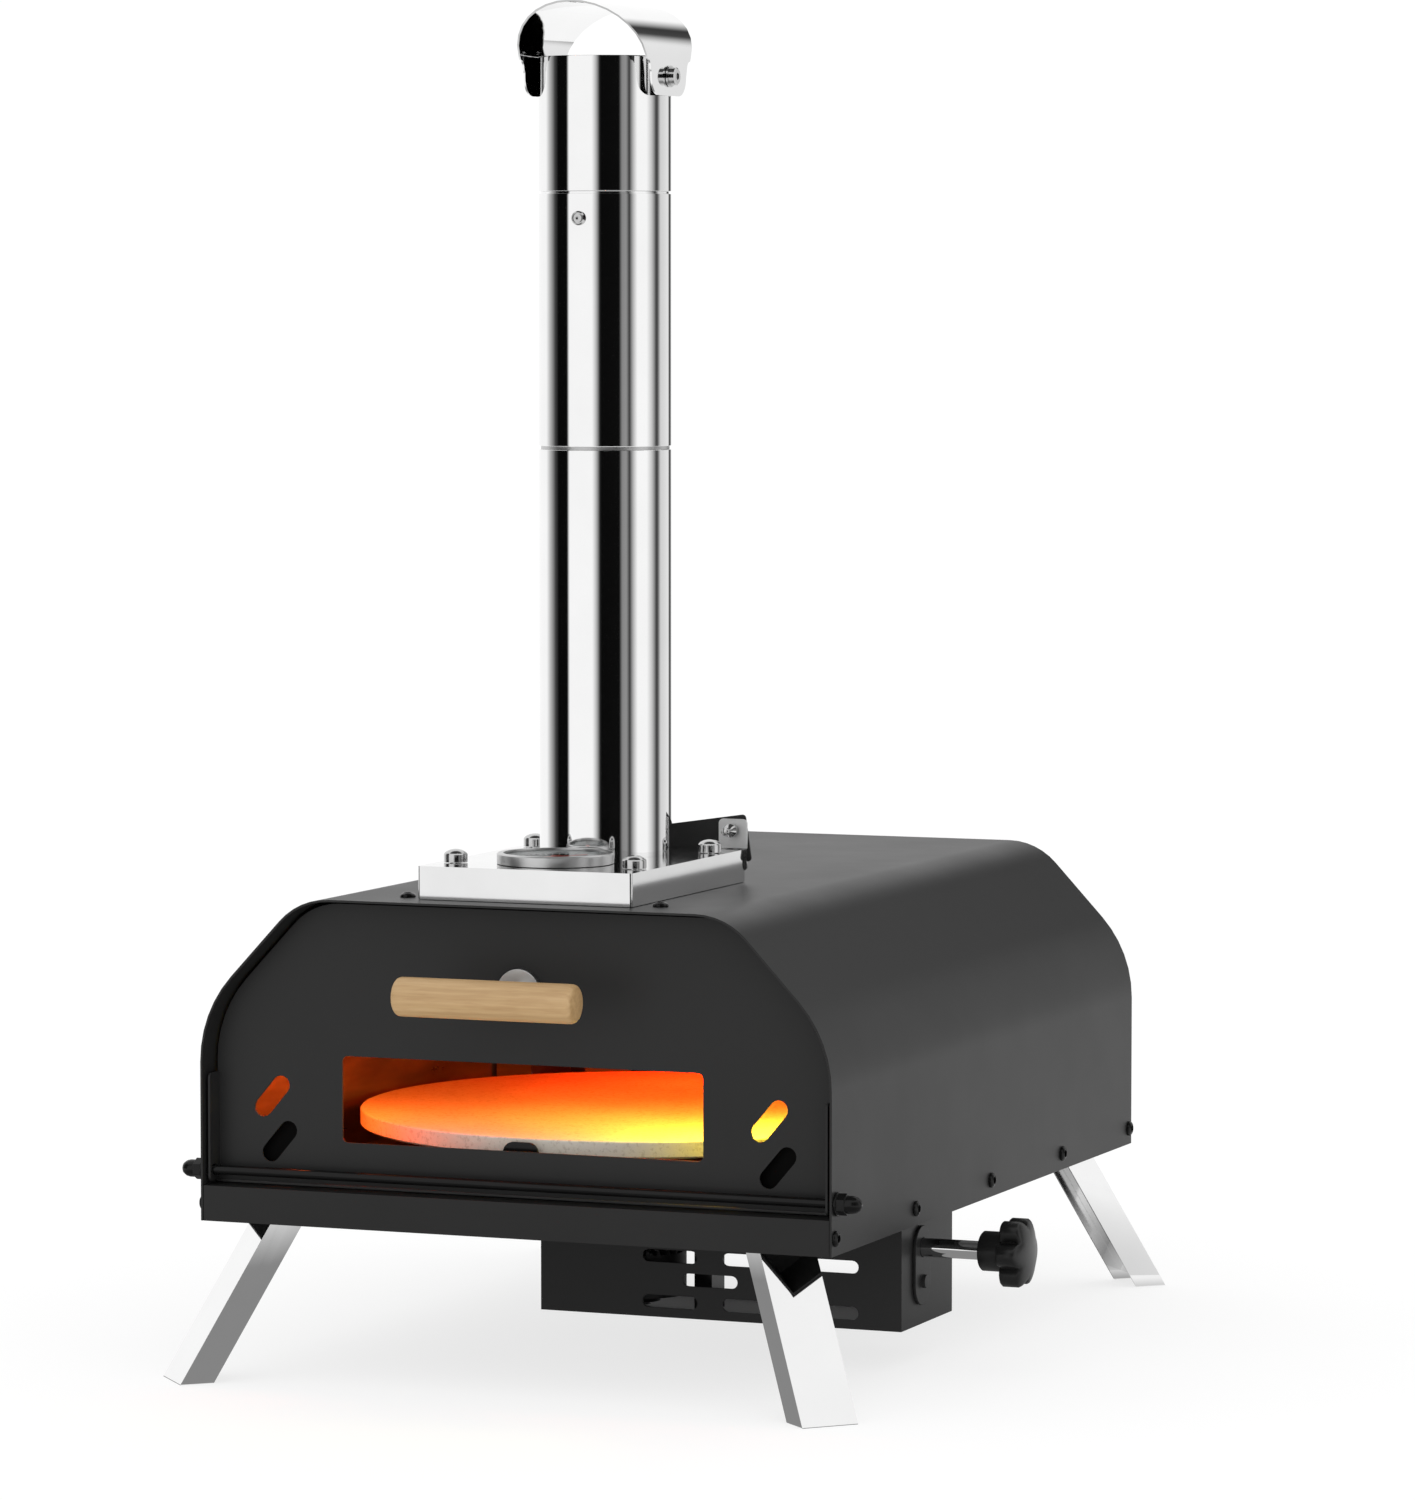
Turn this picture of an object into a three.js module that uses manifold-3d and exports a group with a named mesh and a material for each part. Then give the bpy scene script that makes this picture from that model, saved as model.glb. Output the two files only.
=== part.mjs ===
import * as THREE from 'three';
import { mergeVertices } from 'three/addons/utils/BufferGeometryUtils.js';
import Module from 'manifold-3d';

// Portable wood fired pizza oven with a hand-turned stone. Millimetres, +Z up, door towards -Y.
// While modelling, z = 0 is the lower edge of the body; the feet are put on z = 0 at the end.

// ---- driving dimensions -------------------------------------------------------------------
const BODY = { halfWidth: 175.5, height: 170, depth: 475, sheet: 1.2 };
const SHOULDER = { lowR: 66, lowZ: 83, topR: 38, topX: 102, turn: 43 };
const GAP = 0.3;
const APRON = { height: 18.5, sheet: 1.2, rear: 13 };
const DOOR = { y: 14, bottom: 20.5, inset: 3.2, winHalf: 100.6, winLow: 42.9, winHigh: 87.9 };
const ROD = { y: 7, z: 26.2, r: 2.5 };
const HANDLE = { y: -29, z: 125.2, r: 10.1, half: 49.5, discR: 12 };
const PLINTH = { halfWidth: 59.7, front: 18.4, back: 174.3, height: 17.4 };
const PIPE = { y: 126, r: 34.8, wall: 0.8, jointZ: 400.5, topJointZ: 533.2, rimZ: 603.7 };
const CAP = { half: 36.1, rise: 28, sheet: 1, reach: 30, flare: 0.62, earHalf: 24.5, earDrop: 20.5 };
const GAUGE = { y: 59.2, r: 30.3, height: 5.4 };
const STONE = { y: 175, r: 150, top: 48.6, thick: 9.4 };
const GEARBOX = { x0: -46.7, x1: 158.4, y0: 147, y1: 224.5, bottom: -60.4 };
const DRIVE = { y: 175, z: -19.3, r: 5, end: 198.8 };
const GEAR = { wheelTeeth: 24, pinionTeeth: 10, wheelR: 20.5, pinionR: 8.75, toothH: 2.6, face: 3.5 };
const LEG = { footX: 182.8, footY: -20.3, ground: -81.5, lean: 31, aim: 43, web: 31, flange: 15.5 };
const HINGE = { z: 4, web: 6, end: 7, pin: 2.5 };
const TRAY = { x0: 22, x1: 148, y0: 352, z0: 24.5, z1: 84, sheet: 1.2 };

const rad = THREE.MathUtils.degToRad;
const group = new THREE.Group();
group.name = 'wood_fired_pizza_oven';

// ---- finishes -----------------------------------------------------------------------------
const mat = (color, roughness, metalness) =>
  new THREE.MeshStandardMaterial({ color, roughness, metalness });
const paint = mat(0x2b2b2c, 0.5, 0.2);
const mirror = mat(0xd8d8d8, 0.12, 1);
const steel = mat(0xa8a8a6, 0.35, 1);
const blackOxide = mat(0x191919, 0.4, 0.8);
const sooty = mat(0x4a4440, 0.6, 0.8);
const wood = mat(0xd2a878, 0.55, 0);
const cordierite = mat(0xd9d2c4, 0.9, 0);
const plastic = mat(0x1b1b1b, 0.5, 0);
const dialFace = mat(0x202020, 0.5, 0);
const glass = mat(0xe8eef0, 0.05, 0);
const castIron = mat(0x3a3a3c, 0.55, 0.9);

// ---- solids -------------------------------------------------------------------------------
const wasm = await Module();
wasm.setup();

function toSolid(geometry) {
  const g = geometry.clone();
  g.deleteAttribute('normal');
  g.deleteAttribute('uv');
  const m = mergeVertices(g, 1e-4);
  const index = m.index.array;
  const kept = [];
  for (let i = 0; i < index.length; i += 3) {
    const [a, b, c] = [index[i], index[i + 1], index[i + 2]];
    if (a !== b && b !== c && c !== a) kept.push(a, b, c);
  }
  return new wasm.Manifold(new wasm.Mesh({
    numProp: 3,
    vertProperties: new Float32Array(m.attributes.position.array),
    triVerts: new Uint32Array(kept),
  }));
}

function toGeometry(solid) {
  const mesh = solid.getMesh();
  const g = new THREE.BufferGeometry();
  const count = mesh.vertProperties.length / mesh.numProp;
  const position = new Float32Array(count * 3);
  for (let i = 0; i < count; i += 1) {
    for (let k = 0; k < 3; k += 1) position[i * 3 + k] = mesh.vertProperties[i * mesh.numProp + k];
  }
  g.setAttribute('position', new THREE.BufferAttribute(position, 3));
  g.setIndex(new THREE.BufferAttribute(new Uint32Array(mesh.triVerts), 1));
  return g;
}

function piece(name, solid, material) {
  const mesh = new THREE.Mesh(toGeometry(solid), material);
  mesh.name = name;
  group.add(mesh);
  return mesh;
}

const join = (first, ...rest) => rest.reduce((sum, s) => sum.add(s), first);
const cut = (first, ...rest) => rest.reduce((sum, s) => sum.subtract(s), first);

function box(x0, x1, y0, y1, z0, z1) {
  const g = new THREE.BoxGeometry(x1 - x0, y1 - y0, z1 - z0);
  g.translate((x0 + x1) / 2, (y0 + y1) / 2, (z0 + z1) / 2);
  return toSolid(g);
}

const AXES = {
  x: new THREE.Matrix4().makeBasis(
    new THREE.Vector3(0, 1, 0), new THREE.Vector3(0, 0, 1), new THREE.Vector3(1, 0, 0)),
  y: new THREE.Matrix4().makeBasis(
    new THREE.Vector3(1, 0, 0), new THREE.Vector3(0, 0, 1), new THREE.Vector3(0, -1, 0)),
  z: new THREE.Matrix4(),
};

// A flat outline extruded along an axis: outlines are (y, z) for x, (x, z) for y, (x, y) for z.
function prism(axis, shape, from, to, segments = 4) {
  const g = new THREE.ExtrudeGeometry(shape, {
    depth: to - from, bevelEnabled: false, curveSegments: segments,
  });
  g.applyMatrix4(AXES[axis]);
  if (axis === 'x') g.translate(from, 0, 0);
  if (axis === 'y') g.translate(0, to, 0);
  if (axis === 'z') g.translate(0, 0, from);
  return toSolid(g);
}

// A turned solid: profile pairs are (radius, distance along the axis), from axis to axis.
function turned(axis, profile, at, segments = 20) {
  const g = new THREE.LatheGeometry(profile.map(([r, h]) => new THREE.Vector2(r, h)), segments);
  if (axis === 'x') g.rotateZ(-Math.PI / 2);
  if (axis === 'z') g.rotateX(Math.PI / 2);
  g.translate(...at);
  const solid = toSolid(g);
  if (solid.volume() >= 0) return solid;
  const flipped = new THREE.LatheGeometry(
    profile.slice().reverse().map(([r, h]) => new THREE.Vector2(r, h)), segments);
  if (axis === 'x') flipped.rotateZ(-Math.PI / 2);
  if (axis === 'z') flipped.rotateX(Math.PI / 2);
  flipped.translate(...at);
  return toSolid(flipped);
}

function rod(axis, r, from, to, a, b, segments = 16) {
  const profile = [[0, from], [r, from], [r, to], [0, to]];
  const at = { x: [0, a, b], y: [a, 0, b], z: [a, b, 0] }[axis];
  return turned(axis, profile, at, segments);
}

function rounded(x0, x1, y0, y1, r) {
  const s = new THREE.Shape();
  s.moveTo(x0 + r, y0);
  s.lineTo(x1 - r, y0);
  s.absarc(x1 - r, y0 + r, r, -Math.PI / 2, 0, false);
  s.lineTo(x1, y1 - r);
  s.absarc(x1 - r, y1 - r, r, 0, Math.PI / 2, false);
  s.lineTo(x0 + r, y1);
  s.absarc(x0 + r, y1 - r, r, Math.PI / 2, Math.PI, false);
  s.lineTo(x0, y0 + r);
  s.absarc(x0 + r, y0 + r, r, Math.PI, Math.PI * 1.5, false);
  return s;
}

function stadium(ax, ay, bx, by, r) {
  const s = new THREE.Shape();
  const t = Math.atan2(by - ay, bx - ax);
  s.absarc(bx, by, r, t - Math.PI / 2, t + Math.PI / 2, false);
  s.absarc(ax, ay, r, t + Math.PI / 2, t + Math.PI * 1.5, false);
  s.closePath();
  return s;
}

// Half outline of the body from the right foot up to the roof, moved inwards by an inset.
function shoulderPoints(inset, foot) {
  const { lowR, lowZ, topR, topX, turn } = SHOULDER;
  const points = [[BODY.halfWidth - inset, foot]];
  const steps = 6;
  for (let i = 0; i <= steps; i += 1) {
    const t = rad(turn * i / steps);
    points.push([
      BODY.halfWidth - lowR + (lowR - inset) * Math.cos(t), lowZ + (lowR - inset) * Math.sin(t)]);
  }
  for (let i = 0; i <= steps; i += 1) {
    const t = rad(turn + (90 - turn) * i / steps);
    points.push([
      topX + (topR - inset) * Math.cos(t), BODY.height - topR + (topR - inset) * Math.sin(t)]);
  }
  return points;
}

function archPoints(inset, foot) {
  const right = shoulderPoints(inset, foot);
  return right.concat(right.slice().reverse().map(([x, z]) => [-x, z]));
}

function shapeOf(points) {
  return new THREE.Shape(points.map(([x, y]) => new THREE.Vector2(x, y)));
}

const archPlate = (inset, foot, y0, y1) => prism('y', shapeOf(archPoints(inset, foot)), y0, y1);

function archSkin(inset, sheet, foot, y0, y1) {
  const outer = archPoints(inset, foot);
  const inner = archPoints(inset + sheet, foot).reverse();
  return prism('y', shapeOf(outer.concat(inner)), y0, y1);
}

// ---- body ---------------------------------------------------------------------------------
const roofZ = BODY.height;
const flueHole = (r, z0, z1) => rod('z', r, z0, z1, 0, PIPE.y, 40);
const stemHole = (z0, z1) => rod('z', 4, z0, z1, 0, GAUGE.y);

piece('outer_shell', cut(
  archSkin(0, BODY.sheet, 0, 0, BODY.depth),
  flueHole(33, roofZ - 10, roofZ + 10),
  stemHole(roofZ - 10, roofZ + 10),
), paint);

const inside = BODY.halfWidth - BODY.sheet - GAP;
const floorHole = rod('z', 9, -5, 40, 0, STONE.y);
// The pan is an upturned tray: its skirts reach down to z = 0 and hide the folding legs' hinges.
const panUnder = APRON.height - APRON.sheet;
piece('base_pan', cut(
  join(
    box(-inside, inside, GAP, BODY.depth - GAP, panUnder, APRON.height),
    cut(
      box(-inside, inside, GAP, BODY.depth - GAP, 0, APRON.height),
      box(-inside + APRON.sheet, inside - APRON.sheet,
        GAP + APRON.sheet, BODY.depth - GAP - APRON.sheet, -5, 40),
    ),
  ),
  floorHole,
), paint);

const hearthZ = APRON.height + GAP;
piece('hearth_plate', cut(
  join(
    box(-inside, inside, APRON.rear + 2, 458, hearthZ, hearthZ + 1.5),
    box(-inside, inside, 456.8, 458, hearthZ, hearthZ + 14),
    box(TRAY.x0 + 6, TRAY.x0 + 12, 352, 450, hearthZ + 1, TRAY.z0 - GAP),
    box(TRAY.x1 - 12, TRAY.x1 - 6, 352, 450, hearthZ + 1, TRAY.z0 - GAP),
  ),
  floorHole,
  box(TRAY.x0 - 2, TRAY.x1 + 2, 440, 470, hearthZ + 3, hearthZ + 30),
), steel);

const linerFoot = hearthZ + 1.5 + GAP;
piece('fire_liner', cut(
  archSkin(13, 1, linerFoot, 21, 456),
  flueHole(32, roofZ - 30, roofZ),
  stemHole(roofZ - 30, roofZ),
), sooty);

// The frame's lower corners are filled, which hides the fire from the door's lower slots.
const frameInside = prism('y', shapeOf(archPoints(19, -10)), 10, 30)
  .subtract(join(
    box(-170, -118, 5, 35, -20, 54),
    box(118, 170, 5, 35, -20, 54),
  ));
piece('front_frame', cut(
  archPlate(BODY.sheet + GAP, linerFoot, 18.6, 19.8), frameInside), paint);

const trayHole = box(TRAY.x0 - 2, TRAY.x1 + 2, 450, 470, TRAY.z0 - 2, TRAY.z1 + 2);
const ventSlots = [0, 1, 2, 3, 4].map((i) =>
  prism('y', stadium(-138 + i * 26, 52, -122 + i * 26, 66, 4.5), 450, 470));
piece('back_panel', cut(
  archPlate(BODY.sheet + GAP, linerFoot, 458.4, 459.6), trayHole, ...ventSlots,
), paint);

piece('flame_baffle', cut(
  box(-158, 158, 341, 342.5, linerFoot, 60),
  ...[-120, -60, 0, 60, 120].map((x) =>
    prism('y', stadium(x - 12, 42, x + 12, 42, 5), 335, 350, 3)),
), sooty);

// ---- rear fuel drawer ---------------------------------------------------------------------
piece('fuel_tray', cut(
  box(TRAY.x0, TRAY.x1, TRAY.y0, 457, TRAY.z0, TRAY.z1 - 20),
  box(TRAY.x0 + 1.2, TRAY.x1 - 1.2, TRAY.y0 + 1.2, 455.8, TRAY.z0 + 1.2, TRAY.z1),
  ...[0, 1, 2, 3].map((i) =>
    box(TRAY.x0 + 20 + i * 24, TRAY.x0 + 34 + i * 24, TRAY.y0 - 5, TRAY.y0 + 5, 34, 58)),
).add(join(
  box(TRAY.x0 + 1, TRAY.x1 - 1, 455.8, 461, TRAY.z0 + 1, TRAY.z1 - 22),
  box(TRAY.x0 - 8, TRAY.x1 + 8, 460, 461.2, TRAY.z0 - 1.5, TRAY.z1 + 6),
)), paint);

const grateBars = [0, 1, 2, 3, 4, 5, 6].map((i) =>
  box(TRAY.x0 + 10 + i * 16.4, TRAY.x0 + 15 + i * 16.4, TRAY.y0 + 5, 450, 34, 38));
piece('fuel_grate', join(
  box(TRAY.x0 + 4, TRAY.x1 - 4, TRAY.y0 + 5, TRAY.y0 + 9, 30, 38),
  box(TRAY.x0 + 4, TRAY.x1 - 4, 446, 450, 30, 38),
  box(TRAY.x0 + 4, TRAY.x0 + 8, TRAY.y0 + 5, 450, 26.1, 38),
  box(TRAY.x1 - 8, TRAY.x1 - 4, TRAY.y0 + 5, 450, 26.1, 38),
  ...grateBars,
), castIron);

const trayX = (TRAY.x0 + TRAY.x1) / 2;
piece('tray_knob', turned('y', [
  [0, 461.5], [5, 461.5], [5, 470], [9, 473], [12, 478], [12, 484], [9, 488], [0, 489]],
[trayX, 0, 64]), wood);

// ---- chimney ------------------------------------------------------------------------------
const plinthTop = roofZ + PLINTH.height;
const plinthMid = (PLINTH.front + PLINTH.back) / 2;
const corners = [['front_left', -50, 45], ['front_right', 50, 45],
  ['rear_left', -50, 148], ['rear_right', 50, 148]];
const lug = prism('y', rounded(45, 61, roofZ + 6, plinthTop + 16, 2.5),
  PLINTH.back - 1.2, PLINTH.back);
const draughtSlot = prism('y', stadium(-38, roofZ + 9, 18, roofZ + 9, 4), 160, 180);
piece('chimney_plinth', cut(
  join(
    cut(
      prism('z', rounded(-PLINTH.halfWidth, PLINTH.halfWidth, PLINTH.front, PLINTH.back, 1.5),
        roofZ + GAP, plinthTop),
      box(-PLINTH.halfWidth + 1.2, PLINTH.halfWidth - 1.2,
        PLINTH.front + 1.2, PLINTH.back - 1.2, roofZ - 5, plinthTop - 1.2),
    ),
    lug,
  ),
  flueHole(PIPE.r + GAP, roofZ, plinthTop + 5),
  stemHole(roofZ, plinthTop + 5),
  ...corners.map(([, x, y]) => rod('z', 3.3, roofZ + 5, plinthTop + 5, x, y)),
  rod('y', 2.3, 160, 180, 53, plinthTop + 10),
  draughtSlot,
), mirror);

corners.forEach(([where, x, y]) => {
  const z = plinthTop + GAP;
  piece(`plinth_screw_${where}`, cut(
    turned('z', [[0, z - 14], [3, z - 14], [3, z], [6.2, z], [6.2, z + 4], [5.6, z + 5.6],
      [4.4, z + 6.4], [0, z + 6.8]], [x, y, 0], 18),
    rod('z', 2.3, z + 3.5, z + 10, x, y, 6),
  ), steel);
});

// Sheet flap over the draught slot behind the plinth, hung from the lug and resting on the roof.
const flapTurn = 8.4;
const flapPivot = [53, plinthTop + 10];
const flap = cut(
  prism('y', rounded(-58, 60.5, flapPivot[1] - 17.5, flapPivot[1] + 7.5, 2), 174.7, 175.9),
  rod('y', 2.3, 170, 180, flapPivot[0], flapPivot[1]),
);
piece('draught_flap', cut(
  flap
    .translate([-flapPivot[0], 0, -flapPivot[1]])
    .rotate([0, -flapTurn, 0])
    .translate([flapPivot[0], 0, flapPivot[1]]),
  box(-80, 80, 170, 180, roofZ - 20, roofZ + 1),
), paint);

piece('flap_pin', turned('y', [
  [0, 160.5], [2, 161.2], [2.4, 162.6], [2, 164], [1.6, 164.6], [1.6, 167.4], [3.6, 169.4],
  [3.6, 172.8], [2, 172.8], [2, 176.3], [3.4, 176.3], [3.4, 178.4], [0, 178.4]],
[flapPivot[0], 0, flapPivot[1]], 14), steel);

const tube = (r, wall, z0, z1, segments = 48) => turned('z',
  [[r - wall, z0], [r, z0], [r, z1], [r - wall, z1], [r - wall, z0]], [0, PIPE.y, 0], segments);
piece('pipe_lower', tube(PIPE.r, PIPE.wall, roofZ + GAP, PIPE.jointZ - 0.6), mirror);
const rivetHole = rod('y', 2.1, 80, 110, 0, 519.7, 12);
piece('pipe_upper', cut(
  tube(PIPE.r, PIPE.wall, PIPE.jointZ + 0.6, PIPE.topJointZ - 0.3), rivetHole), mirror);
const neck = PIPE.r - PIPE.wall - GAP;
piece('pipe_coupler', tube(neck, 0.8, PIPE.jointZ - 22, PIPE.jointZ + 22), steel);
piece('pipe_top', cut(
  turned('z', [
    [neck - 0.8, 500], [neck, 500], [neck, PIPE.topJointZ + 0.3], [PIPE.r, PIPE.topJointZ + 0.3],
    [PIPE.r, PIPE.rimZ], [PIPE.r - 0.8, PIPE.rimZ], [PIPE.r - 0.8, PIPE.topJointZ + 2],
    [neck - 0.8, PIPE.topJointZ + 1], [neck - 0.8, 500]], [0, PIPE.y, 0], 48),
  rivetHole,
  ...[-1, 1].map((s) => rod('x', 2.4, Math.min(s * 30, s * 40), Math.max(s * 30, s * 40),
    PIPE.y, PIPE.rimZ - 10.5, 12)),
), mirror);
piece('pipe_rivet', turned('y', [
  [0, PIPE.y - 37.2], [1, PIPE.y - 37.2], [1, PIPE.y - 36.4], [2.6, PIPE.y - 36.6],
  [3.6, PIPE.y - 35.1], [1.8, PIPE.y - 35.1], [1.8, PIPE.y - 32.4], [2.9, PIPE.y - 32.4],
  [2.9, PIPE.y - 31.2], [0, PIPE.y - 31.2]], [0, 0, 519.7], 14), steel);

function capOutline(half, rise, foot) {
  const steps = 16;
  const points = [[half, foot]];
  for (let i = 0; i <= steps; i += 1) {
    const t = Math.PI * i / steps;
    points.push([half * Math.cos(t), PIPE.rimZ + rise * Math.sin(t)]);
  }
  points.push([-half, foot]);
  return points;
}
const capInner = capOutline(CAP.half - CAP.sheet, CAP.rise - CAP.sheet, PIPE.rimZ - 40).reverse();
const capBand = prism('y', shapeOf(
  capOutline(CAP.half, CAP.rise, PIPE.rimZ - 40).concat(capInner)), PIPE.y - 60, PIPE.y + 60);
const capSide = new THREE.Shape();
const earFoot = PIPE.rimZ - CAP.earDrop;
const foldZ = PIPE.rimZ - 2;
const flareAt = CAP.reach + CAP.flare * 45;
capSide.moveTo(PIPE.y - flareAt, PIPE.rimZ + 45);
capSide.lineTo(PIPE.y - CAP.reach, PIPE.rimZ);
capSide.lineTo(PIPE.y - CAP.reach + 1, foldZ);
capSide.quadraticCurveTo(PIPE.y - CAP.earHalf - 0.5, foldZ, PIPE.y - CAP.earHalf, foldZ - 5);
capSide.lineTo(PIPE.y - CAP.earHalf + 1, earFoot + 12);
capSide.absarc(PIPE.y - CAP.earHalf + 11, earFoot + 10, 10, Math.PI, Math.PI * 1.5, false);
capSide.absarc(PIPE.y + CAP.earHalf - 11, earFoot + 10, 10, Math.PI * 1.5, Math.PI * 2, false);
capSide.lineTo(PIPE.y + CAP.earHalf, foldZ - 5);
capSide.quadraticCurveTo(PIPE.y + CAP.earHalf + 0.5, foldZ, PIPE.y + CAP.reach - 1, foldZ);
capSide.lineTo(PIPE.y + CAP.reach, PIPE.rimZ);
capSide.lineTo(PIPE.y + flareAt, PIPE.rimZ + 45);
capSide.closePath();
const capBoltZ = PIPE.rimZ - 10.5;
piece('rain_cap', cut(
  capBand.intersect(prism('x', capSide, -60, 60)),
  rod('x', 2.4, -60, 60, PIPE.y, capBoltZ, 12),
), mirror);
[['left', -1], ['right', 1]].forEach(([side, s]) => {
  const outer = CAP.half + GAP;
  const profile = [[0, 31], [3.6, 31], [3.6, 33.4], [2, 33.4], [2, outer], [5.6, outer],
    [5.6, outer + 1], [4.6, outer + 1], [4.6, outer + 4], [3.8, outer + 4.6], [0, outer + 4.6]];
  piece(`cap_bolt_${side}`, cut(
    turned('x', profile.map(([r, h]) => [r, s * h]), [0, PIPE.y, capBoltZ], 16),
    rod('x', 2, Math.min(s * (outer + 2.6), s * 60), Math.max(s * (outer + 2.6), s * 60),
      PIPE.y, capBoltZ, 6),
  ), steel);
});

// ---- thermometer --------------------------------------------------------------------------
const gz = plinthTop + GAP;
const gTop = gz + GAUGE.height;
piece('gauge_case', turned('z', [
  [0, gz - 45], [2.8, gz - 45], [3, gz], [GAUGE.r, gz], [GAUGE.r, gTop - 0.6],
  [GAUGE.r - 0.6, gTop], [GAUGE.r - 3.4, gTop], [GAUGE.r - 3.8, gz + 1], [0, gz + 1]],
[0, GAUGE.y, 0], 40), mirror);
piece('gauge_dial', cut(
  rod('z', GAUGE.r - 4.4, gz + 1.3, gz + 1.9, 0, GAUGE.y, 32),
  rod('z', 1.4, gz, gz + 4, 0, GAUGE.y, 16)), dialFace);
const needle = new THREE.Shape();
needle.moveTo(-2, -7);
needle.lineTo(2, -7);
needle.lineTo(0.5, 21);
needle.lineTo(-0.5, 21);
needle.closePath();
piece('gauge_needle', join(
  prism('z', needle, gz + 2.3, gz + 2.8).rotate([0, 0, -28]).translate([0, GAUGE.y, 0]),
  rod('z', 2.4, gz + 2.2, gz + 3.2, 0, GAUGE.y, 20),
  rod('z', 1, gz + 1.4, gz + 2.6, 0, GAUGE.y, 16),
), mat(0xc8362a, 0.5, 0));
piece('gauge_glass', rod('z', GAUGE.r - 4, gTop - 1.9, gTop - 0.9, 0, GAUGE.y, 32), glass);

// ---- door ---------------------------------------------------------------------------------
const slotLean = [5, 5.9];
const slotR = 5;
const doorSlots = [[-140.8, 65.2], [-136.6, 41.7], [136.5, 65.2], [141.2, 41.7]];
const doorEdge = BODY.halfWidth - DOOR.inset;
const ear = (x0, x1) => prism('x', rounded(2.6, DOOR.y + 1.2, DOOR.bottom, 77, 2.5), x0, x1);
piece('door_panel', cut(
  join(
    archPlate(DOOR.inset, DOOR.bottom, DOOR.y, DOOR.y + 1.2),
    ear(-doorEdge, -doorEdge + 1.2),
    ear(doorEdge - 1.2, doorEdge),
  ),
  prism('y', rounded(-DOOR.winHalf, DOOR.winHalf, DOOR.winLow, DOOR.winHigh, 3), 10, 20),
  ...doorSlots.map(([x, z]) => prism('y', stadium(
    x - slotLean[0], z - slotLean[1], x + slotLean[0], z + slotLean[1], slotR), 10, 20)),
  rod('y', 3.3, 10, 20, 0, HANDLE.z),
  rod('x', ROD.r + 0.4, -180, 180, ROD.y, ROD.z),
), paint);
piece('handle_disc', cut(
  rod('y', HANDLE.discR, 10.7, DOOR.y - GAP, 0, HANDLE.z, 32),
  rod('y', 3.3, 0, 20, 0, HANDLE.z)), mirror);
piece('handle_post', turned('y', [
  [0, -26], [3, -26], [3, -18.2], [5.5, -18.2], [5.5, 10.3], [3, 10.3], [3, 16], [6.5, 16],
  [6.5, 18], [4.5, 20.6], [0, 20.8]], [0, 0, HANDLE.z]), steel);
const grip = [[0, -HANDLE.half], [HANDLE.r - 1.4, -HANDLE.half],
  [HANDLE.r - 0.4, -HANDLE.half + 0.5], [HANDLE.r, -HANDLE.half + 1.6],
  [HANDLE.r, HANDLE.half - 1.6], [HANDLE.r - 0.4, HANDLE.half - 0.5],
  [HANDLE.r - 1.4, HANDLE.half], [0, HANDLE.half]];
piece('wood_handle', cut(
  turned('x', grip, [0, HANDLE.y, HANDLE.z], 28),
  rod('y', 3.3, HANDLE.y + 2.6, 0, 0, HANDLE.z)), wood);
const catchBar = new THREE.Shape();
catchBar.moveTo(-13, hearthZ + 1.8);
catchBar.lineTo(7, hearthZ + 1.8);
catchBar.lineTo(7, 41);
catchBar.absarc(1, 41, 6, 0, Math.PI / 2, false);
catchBar.absarc(-7, 41, 6, Math.PI / 2, Math.PI, false);
catchBar.closePath();
piece('door_catch', join(
  prism('y', catchBar, 20.3, 21.5),
  box(-13, 7, 20.3, 25, hearthZ + 1.8, hearthZ + 3)), blackOxide);

const rodEnd = BODY.halfWidth;
const sideHole = rod('x', ROD.r + 0.3, -200, 200, ROD.y, ROD.z);
const shell = group.getObjectByName('outer_shell');
shell.geometry = toGeometry(toSolid(shell.geometry).subtract(sideHole));
piece('hinge_rod', rod('x', ROD.r, -rodEnd - 11, rodEnd + 11, ROD.y, ROD.z, 24), blackOxide);
[['left', -1], ['right', 1]].forEach(([side, s]) => {
  const a = rodEnd + GAP;
  const hex = turned('x', [[0, s * (a + 1)], [5.7, s * (a + 1)], [5.7, s * (a + 5.4)],
    [0, s * (a + 5.4)]], [0, ROD.y, ROD.z], 6);
  const washer = turned('x', [[0, s * a], [6.2, s * a], [6.2, s * (a + 1.1)],
    [0, s * (a + 1.1)]], [0, ROD.y, ROD.z], 20);
  const dome = turned('x', [[0, s * (a + 5)], [4.6, s * (a + 5)], [4.6, s * (a + 8.4)],
    [4.1, s * (a + 10.6)], [2.9, s * (a + 12.3)], [1.2, s * (a + 13.2)], [0, s * (a + 13.3)]],
  [0, ROD.y, ROD.z], 20);
  const bore = rod('x', ROD.r + 0.3, Math.min(s * (a - 2), s * (a + 11.2)),
    Math.max(s * (a - 2), s * (a + 11.2)), ROD.y, ROD.z, 12);
  piece(`cap_nut_${side}`, cut(join(hex, washer, dome), bore), blackOxide);
});

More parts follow.
